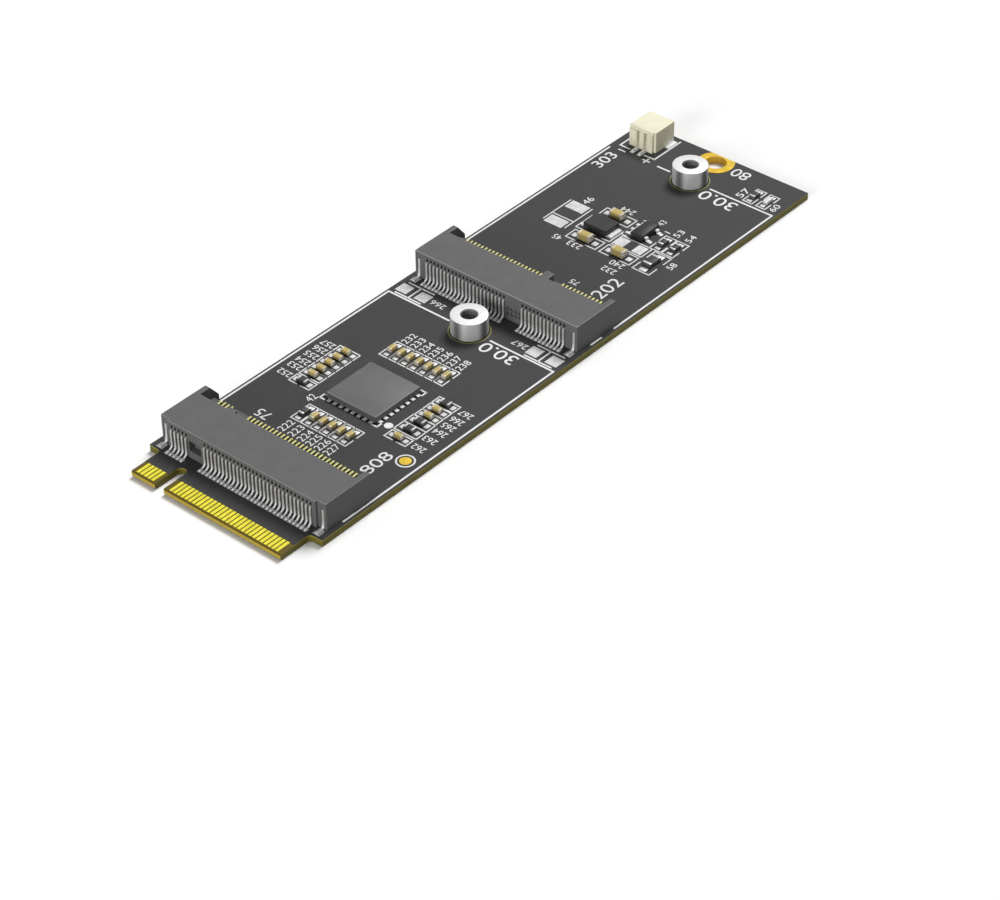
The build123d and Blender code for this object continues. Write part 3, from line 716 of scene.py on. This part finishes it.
def standoffs():
    """A turned post with a spigot below, and a tapped bore with a groove for each turn of the thread."""
    profile = [(BORE, SPIGOT_FOOT)]
    for k in range(THREAD_TURNS):
        z = THREAD_START + THREAD_RISE * k
        profile += [(BORE, z), (THREAD_ROOT, z + 0.13), (THREAD_ROOT, z + 0.19), (BORE, z + 0.32)]
    profile += [(0.86, 1.98), (0.97, 2.1), (1.9, 2.1), (1.97, 2.07), (2.0, 2.0), (2.0, 0.05), (1.96, 0),
                (1.2, 0), (1.2, SPIGOT_FOOT), (BORE, SPIGOT_FOOT)]
    for name, x in zip(("front_standoff", "rear_standoff"), STANDOFF_XS):
        finished(turned(name + "_post", x, 0, profile, 64), STEEL, name)


# Printed lines: each runs from one place to another
FINE_LINE = 0.17
BROAD_LINE = 0.22
PRINT_DEPTH = 0.02


def frame_lines(low_x, high_x, low_y, high_y):
    """The four sides of a frame."""
    return [((low_x, low_y), (high_x, low_y)), ((high_x, low_y), (high_x, high_y)),
            ((high_x, high_y), (low_x, high_y)), ((low_x, high_y), (low_x, low_y))]


def bracket_lines(x, y, is_turned, reach, half_width, gap):
    """Two square brackets that hold a chip part between them."""
    lines = []
    for end in (-1, 1):
        tip, back = end * gap, end * reach
        for run in (((tip, -half_width), (back, -half_width)), ((back, -half_width), (back, half_width)),
                    ((back, half_width), (tip, half_width))):
            lines.append(tuple((x - v, y + u) if is_turned else (x + u, y + v) for u, v in run))
    return lines


# Brackets: how far they reach from the part's middle, half their width, half the gap between them
SMALL_BRACKETS = (1.38, 0.61, 0.3)
LARGE_BRACKETS = (2.03, 0.84, 0.75)
PAIR_BRACKETS = (1.45, 0.75, 0.35)
RESISTOR_BRACKETS = (1.95, 1.1, 0.6)


def fine_lines():
    """Brackets and frames round the chip parts, the coil, the regulator and the bare lands."""
    lines = []
    for place in SMALL_CAPACITORS + LONE_RESISTORS + LAMP_PLACES:
        lines += bracket_lines(*place, *SMALL_BRACKETS)
    for place in POWER_CAPACITORS:
        lines += bracket_lines(*place, *LARGE_BRACKETS)
    lines += frame_lines(21.15, 24.1, -7.95, -5.05) + [((22.65, -7.95), (22.65, -5.05))]
    for place in PAIR_RESISTORS:
        lines += bracket_lines(*place, *PAIR_BRACKETS)
    lines += bracket_lines(*LARGE_RESISTOR[0], *RESISTOR_BRACKETS)
    lines += [((60.2, 3.85), (63.0, 3.85)), ((60.2, 3.85), (60.2, 1.2)), ((63.0, 3.85), (63.0, 2.4)),
              ((60.2, -0.75), (60.2, 0.2)), ((60.2, -0.75), (62.6, -0.75))]
    lines += frame_lines(60.05, 62.0, -5.2, -1.15)
    lines += [((59.3, 7.6), (63.9, 7.6)), ((59.3, 4.6), (63.9, 4.6)), ((60.75, 4.6), (60.75, 7.6))]
    lines += [((65.75, -1.15), (66.05, -1.45)), ((62.2, -0.75), (62.2, -1.5)),
              ((65.55, -4.2), (65.55, -4.75))]
    return lines


def broad_lines():
    """Corners round the chip, frames by the front standoff, and marks by the M socket and the header."""
    lines = []
    run = 0.6
    for x, along in ((20.2, run), (27.5, -run)):
        for y, across in ((4.0, -run), (-3.65, run)):
            lines += [((x, y), (x + along, y)), ((x, y), (x, y + across))]
    for side in (-1, 1):
        lines += [((38.65, side * 7.1), (38.65, side * 10.5)), ((40.85, side * 7.1), (40.85, side * 10.5))]
        lines += [((38.65, side * 8.8), (40.85, side * 8.8))]
    lines += [((8.9, -11.15), (11.1, -11.15))]
    lines += [((76.2, 9.2), (76.2, 10.5)), ((76.2, 10.5), (78.1, 10.5))]
    lines += [((76.2, 7.0), (76.2, 5.65)), ((76.2, 5.65), (80.9, 5.65))]
    lines += [((75.4, 9.2), (75.4, 10.0)), ((75.0, 6.2), (75.8, 6.2)), ((75.4, 5.8), (75.4, 6.6))]
    return lines


def printed_lines(name, width, lines):
    """Raised lines of ink with soft shoulders and square ends."""
    route = bpy.data.curves.new(name, "CURVE")
    route.dimensions = "3D"
    route.bevel_depth = width * MM / 2
    route.bevel_resolution = 1
    route.use_fill_caps = True
    for start, end in lines:
        start, end = Vector(start), Vector(end)
        over = (end - start).normalized() * width / 2
        spline = route.splines.new("POLY")
        spline.points.add(1)
        for point, place in zip(spline.points, (start - over, end + over)):
            point.co = (TIP_X + place.x * MM, place.y * MM, 0, 1)
    piece = bpy.data.objects.new(name, route)
    bpy.context.scene.collection.objects.link(piece)
    take(piece)
    bpy.ops.object.convert(target="MESH")
    flat = Matrix.Diagonal((1, 1, 2 * PRINT_DEPTH / width, 1))
    piece.data.transform(Matrix.Translation((0, 0, BOARD_TOP)) @ flat)
    return piece


def turned(name, x, y, profile, sides=48):
    """A round piece: a circle that is drawn out and resized from step to step of (radius, height)."""
    deselect()
    centre = Vector((TIP_X + x * MM, y * MM, 0))
    radius, height = profile[0]
    bpy.ops.mesh.primitive_circle_add(vertices=sides, radius=radius * MM, fill_type="NOTHING",
                                      location=centre + Vector((0, 0, BOARD_TOP + height * MM)))
    piece = bpy.context.object
    piece.name = name
    bpy.ops.object.transform_apply(location=True)
    bpy.ops.object.mode_set(mode="EDIT")
    bpy.ops.mesh.select_all(action="SELECT")
    for next_radius, next_height in profile[1:]:
        bpy.ops.mesh.extrude_edges_move(
            TRANSFORM_OT_translate={"value": (0, 0, (next_height - height) * MM)})
        share = next_radius / radius
        bpy.ops.transform.resize(value=(share, share, 1), center_override=centre)
        radius, height = next_radius, next_height
    bpy.ops.mesh.select_all(action="SELECT")
    bpy.ops.mesh.remove_doubles(threshold=WELD)
    bpy.ops.mesh.normals_make_consistent(inside=False)
    bpy.ops.object.mode_set(mode="OBJECT")
    bpy.ops.object.shade_smooth_by_angle(angle=math.radians(35))
    return piece


POLE = 0.002
SUNK = -0.01
MARK_EDGE = 0.01
AIM_X, AIM_Y = 17.95, -9.45
AIM_IN, AIM_OUT = 0.83, 1.02


def disc(name, x, y, radius, height):
    """A filled round spot with a soft edge."""
    return turned(name, x, y, [(POLE, height), (radius - MARK_EDGE, height), (radius, height - MARK_EDGE),
                               (radius, SUNK), (POLE, SUNK), (POLE, height)], 32)


def print_marks():
    finished(printed_lines("printed_fine_lines", FINE_LINE, fine_lines()), INK)
    finished(printed_lines("printed_broad_lines", BROAD_LINE, broad_lines()), INK)
    finished(disc("printed_first_pin_dot", 21.1, -4.4, 0.47, PRINT_DEPTH), INK)
    finished(turned("printed_aiming_ring", AIM_X, AIM_Y, [
        (AIM_IN, SUNK), (AIM_IN, 0.01), (AIM_IN + MARK_EDGE, PRINT_DEPTH),
        (AIM_OUT - MARK_EDGE, PRINT_DEPTH), (AIM_OUT, 0.01), (AIM_OUT, SUNK), (AIM_IN, SUNK)]), INK)
    finished(disc("aiming_dot", AIM_X, AIM_Y, 0.62, 0.03), RING_GOLD)


# Printed numbers: text, lowest and highest x, lowest and highest y, turned by a quarter
BIG_NUMBERS = [
    ("808", 14.0, 17.8, -8.2, -6.8, 0), ("202", 51.2, 55.2, -6.9, -5.3, 0),
    ("303", 71.0, 74.3, 9.2, 10.6, 0), ("30.0", 36.3, 37.9, -7.1, -2.6, 1),
    ("30.0", 73.1, 74.8, -7.1, -2.5, 1), ("80", 79.0, 80.6, -4.7, -2.5, 1),
    ("75", 13.95, 15.2, 5.6, 7.2, 1), ("75", 51.5, 52.3, -3.3, -2.2, 1),
]
SMALL_NUMBERS = [
    ("42", 19.0, 20.1, 4.1, 5.1, 0), ("46", 64.3, 65.7, 5.6, 6.5, 0), ("58", 60.1, 61.3, -9.2, -8.4, 0),
    ("53", 65.4, 66.8, -6.0, -5.2, 0), ("54", 65.4, 66.8, -7.6, -6.8, 0), ("43", 66.1, 67.1, -3.3, -2.5, 0),
    ("57", 76.0, 77.9, -6.5, -5.6, 0), ("60", 76.0, 77.4, -10.9, -10.1, 0),
    ("266", 39.3, 40.1, 4.6, 6.5, 1), ("267", 39.3, 40.1, -6.5, -4.6, 1), ("45", 56.9, 57.8, 3.6, 4.6, 1),
    ("233", 56.9, 57.8, 0.8, 2.6, 1), ("244", 65.7, 66.6, 0.5, 2.3, 1), ("232", 55.5, 56.4, -5.0, -3.2, 1),
    ("240", 56.9, 57.8, -5.0, -3.2, 1),
]


def number(text, low_x, high_x, low_y, high_y, is_turned):
    """A number in raised ink that fills its place."""
    bpy.ops.object.text_add()
    label = bpy.context.object
    label.data.body = text
    label.data.align_x = "CENTER"
    label.data.align_y = "CENTER"
    label.data.extrude = PRINT_DEPTH * MM / 2
    label.data.size = 1
    bpy.context.view_layer.update()
    run, rise = high_x - low_x, high_y - low_y
    if is_turned:
        run, rise = rise, run
    take(label)
    bpy.ops.object.convert(target="MESH")
    corners = [Vector(c) for c in label.bound_box]
    low = Vector(map(min, *corners))
    high = Vector(map(max, *corners))
    middle = (low + high) / 2
    wide = run * MM / (high.x - low.x)
    tall = rise * MM / (high.y - low.y)
    fit = Matrix.Diagonal((wide, tall, 1, 1)) @ Matrix.Translation(-middle)
    turn = Matrix.Rotation(math.pi / 2 if is_turned else 0, 4, "Z")
    spot = Vector((TIP_X + (low_x + high_x) / 2 * MM, (low_y + high_y) / 2 * MM,
                   BOARD_TOP + PRINT_DEPTH * MM / 2))
    label.data.transform(Matrix.Translation(spot) @ turn @ fit)
    return label


LABEL_HALF = 0.42


def bank_labels():
    """Numbers beside the four banks of chip parts round the chip."""
    labels = []
    for k, y in enumerate((3.35, 2.0, 0.75, -0.4, -1.55, -2.75)):
        labels.append((str(222 + k), 13.75, 15.6, y - 0.44, y + 0.44, 0))
    for k, (_, y, _) in enumerate(MOUTH_ROW):
        labels.append((str(232 + k), 32.4, 34.2, y - LABEL_HALF, y + LABEL_HALF, 0))
    for k, x in enumerate((20.95, 22.45, 23.6, 24.85, 26.1, 27.3)):
        labels.append((str(252 + k), x - LABEL_HALF, x + LABEL_HALF, 8.7, 10.4, 1))
    for k, x in enumerate((20.25, 21.9, 23.4, 24.65, 25.9, 27.25)):
        labels.append((str(262 + k), x - LABEL_HALF, x + LABEL_HALF, -9.9, -8.3, 1))
    return labels


def print_numbers():
    deselect()
    for name, labels in (("large", BIG_NUMBERS), ("small", SMALL_NUMBERS + bank_labels())):
        finished(joined([number(*label) for label in labels], "printed_" + name + "_numbers"), INK)


# Studio
def add_camera():
    """The camera stands and looks as the photograph's did."""
    data = bpy.data.cameras.new("camera")
    data.lens = CAMERA_LENS
    data.sensor_width = CAMERA_SENSOR
    camera = bpy.data.objects.new("camera", data)
    bpy.context.scene.collection.objects.link(camera)
    level = math.cos(CAMERA_DROP)
    ahead = Vector((math.cos(CAMERA_TURN) * level, math.sin(CAMERA_TURN) * level, -math.sin(CAMERA_DROP)))
    facing = ahead.to_track_quat("-Z", "Y").to_matrix().to_4x4()
    roll = Matrix.Rotation(CAMERA_ROLL, 4, "Z")
    camera.matrix_world = Matrix.Translation(CAMERA_PLACE) @ facing @ roll
    bpy.context.scene.camera = camera


def add_sun(direction, strength, angle):
    """A soft sun that shines from a direction."""
    data = bpy.data.lights.new("sun", "SUN")
    data.energy = strength
    data.angle = math.radians(angle)
    lamp = bpy.data.objects.new("sun", data)
    lamp.matrix_world = Vector(direction).to_track_quat("Z", "Y").to_matrix().to_4x4()
    bpy.context.scene.collection.objects.link(lamp)


def add_world(level):
    world = bpy.data.worlds.new("studio")
    bpy.context.scene.world = world
    world.use_nodes = True
    sky = world.node_tree.nodes["Background"]
    sky.inputs["Strength"].default_value = level
    sky.inputs["Color"].default_value = grey(1)


FLOOR_SIZE = 4
FLOOR_GAP = 0.02
FLOOR_GREY = 0.42
SKY_LEVEL = 0.23


def add_floor():
    """Pale to the lights, white to the camera and in reflections, and it keeps the card's shadow."""
    bpy.ops.mesh.primitive_plane_add(size=FLOOR_SIZE, location=(0, 0, cad_low.z - FLOOR_GAP * MM))
    floor = bpy.context.object
    floor.name = "floor"
    paint = Finish("studio_floor", None)
    path = paint.tree.nodes.new("ShaderNodeLightPath")
    camera, glossy, through = (Wire(paint, path.outputs[name]) for name in (
        "Is Camera Ray", "Is Glossy Ray", "Is Transmission Ray"))
    paint.surface(paint.mix(camera + glossy + through, grey(FLOOR_GREY), grey(1.0)), 1.0)
    floor.data.materials.append(paint.material)


def studio():
    add_camera()
    add_world(SKY_LEVEL)
    add_sun((0.62, 0.06, 0.85), 2.6, 25)
    add_sun((-0.88, -0.06, 0.22), 1.7, 30)
    add_floor()
    bpy.context.scene.view_settings.view_transform = "Standard"


dress_nodes()
round_nodes()
all_chip_parts()
socket_details()
header_details()
regulator_lands()
standoffs()
print_numbers()
print_marks()
studio()
